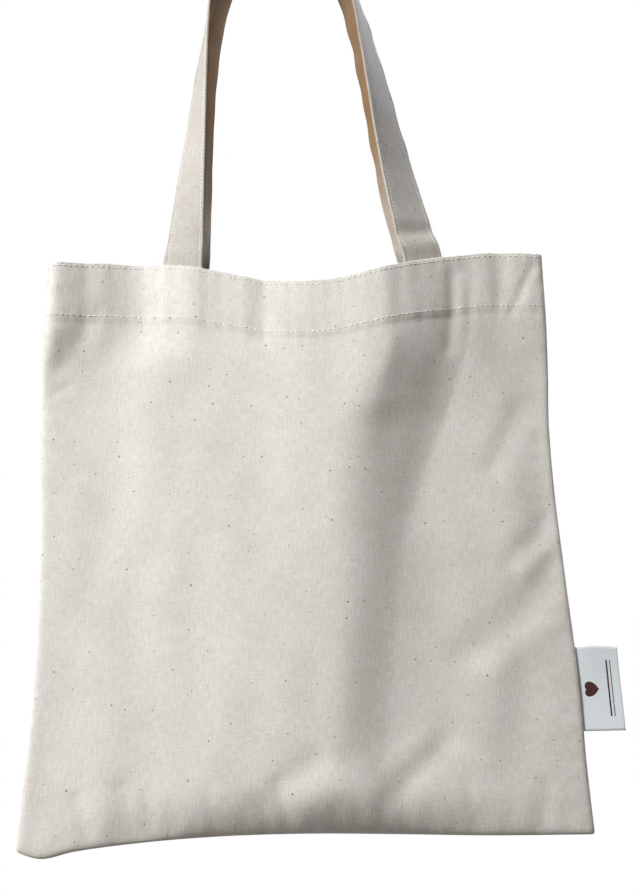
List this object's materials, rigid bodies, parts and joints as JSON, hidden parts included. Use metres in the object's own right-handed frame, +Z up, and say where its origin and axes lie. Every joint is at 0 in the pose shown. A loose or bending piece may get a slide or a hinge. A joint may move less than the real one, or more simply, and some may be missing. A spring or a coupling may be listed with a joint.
{
  "type": "canvas tote bag",
  "caption": "Small flat cotton canvas tote with two folded-strap handles, a turned-in stitched hem and a ribbon label in its side seam, hanging by its handles.",
  "frame": {"origin": "the point the bag hangs from, under the crowns of its two handles and on the bag's middle plane", "axes": "+Z up along the handles, +X to the right seen from the front, -Y out of the front panel"},
  "size_m": [0.3212, 0.0508, 0.5832],
  "materials": {
    "natural_canvas": "unbleached plain-weave cotton canvas",
    "strap_canvas": "folded cotton canvas strap, pressed",
    "cream_thread": "spun sewing thread",
    "label_ribbon": "smooth woven ribbon"
  },
  "bodies": {
    "seams": {"left_side_seam": "natural_canvas", "left_seam_stitching": "cream_thread", "left_overlock_thread": "cream_thread", "right_side_seam": "natural_canvas", "right_seam_stitching": "cream_thread", "right_overlock_thread": "cream_thread", "bottom_seam": "natural_canvas", "bottom_seam_stitching": "cream_thread", "bottom_overlock_thread": "cream_thread"},
    "front": {"front_panel": "natural_canvas", "front_hem_turning": "natural_canvas", "front_hem_stitching": "cream_thread", "front_edge_stitching": "cream_thread", "front_left_strap_end": "strap_canvas", "front_left_strap_stitching": "cream_thread", "front_right_strap_end": "strap_canvas", "front_right_strap_stitching": "cream_thread"},
    "back": {"back_panel": "natural_canvas", "back_hem_turning": "natural_canvas", "back_hem_stitching": "cream_thread", "back_edge_stitching": "cream_thread", "back_left_strap_end": "strap_canvas", "back_left_strap_stitching": "cream_thread", "back_right_strap_end": "strap_canvas", "back_right_strap_stitching": "cream_thread"},
    "front_handle": {"front_handle": "strap_canvas", "front_handle_inner_stitching": "cream_thread", "front_handle_outer_stitching": "cream_thread"},
    "back_handle": {"back_handle": "strap_canvas", "back_handle_inner_stitching": "cream_thread", "back_handle_outer_stitching": "cream_thread"},
    "label": {"side_label": "label_ribbon"}
  },
  "joints": [
    {"name": "mouth_front", "type": "hinge", "parent": "seams", "child": "front", "pos_m": [0, 0, -0.58], "axis": [1, 0, 0], "range_deg": [0, 6]},
    {"name": "mouth_back", "type": "hinge", "parent": "seams", "child": "back", "pos_m": [0, 0, -0.58], "axis": [-1, 0, 0], "range_deg": [0, 6]},
    {"name": "front_handle_fold", "type": "hinge", "parent": "front", "child": "front_handle", "pos_m": [0, -0.0182, -0.2495], "axis": [1, 0, 0], "range_deg": [0, 160]},
    {"name": "back_handle_fold", "type": "hinge", "parent": "back", "child": "back_handle", "pos_m": [0, 0.0145, -0.2495], "axis": [-1, 0, 0], "range_deg": [0, 160]},
    {"name": "label_flap", "type": "hinge", "parent": "seams", "child": "label", "pos_m": [0.14922, 0, -0.4991], "axis": [0, 0, 1], "range_deg": [-90, 90], "stiffness_Nm_per_rad": 0.0005}
  ],
  "couplings": [
    {"joint": "mouth_back", "follows": "mouth_front", "ratio": 1}
  ]
}
